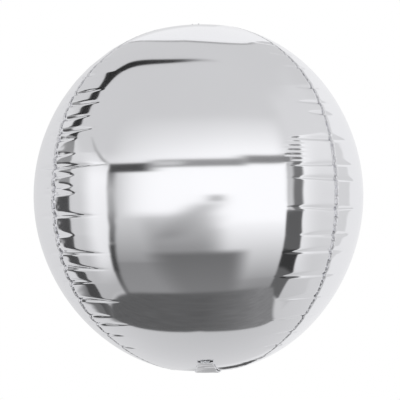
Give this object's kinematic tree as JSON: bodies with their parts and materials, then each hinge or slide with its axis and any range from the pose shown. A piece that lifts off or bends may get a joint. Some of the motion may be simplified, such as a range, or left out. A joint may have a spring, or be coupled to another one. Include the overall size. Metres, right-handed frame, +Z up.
{
  "type": "inflated sphere foil balloon",
  "caption": "Near-round inflated metallic film balloon of curved panels welded along standing seams, with a hanging tab on top and a flat filling tail folded under it.",
  "frame": {"origin": "centre of the inflated envelope, halfway between the crown and the neck", "axes": "+Z up to the crown, -Y out of the front panel, +X to the right of the front panel as seen from in front"},
  "size_m": [0.3588, 0.3588, 0.4098],
  "materials": {
    "silver_foil": "polished",
    "welded_foil": "gloss",
    "clear_film": "gloss"
  },
  "bodies": {
    "root": {"panel_front": "silver_foil", "panel_right": "silver_foil", "panel_back": "silver_foil", "panel_left": "silver_foil", "seam_front_right": "welded_foil", "seam_back_right": "welded_foil", "seam_back_left": "welded_foil", "seam_front_left": "welded_foil", "crown_gather": "silver_foil", "hanging_tab": "welded_foil", "neck_gather": "silver_foil", "tail_upper_film": "silver_foil", "tail_lower_film": "silver_foil", "tail_weld_left": "welded_foil", "tail_weld_right": "welded_foil", "valve_sleeve": "clear_film"}
  },
  "joints": []
}
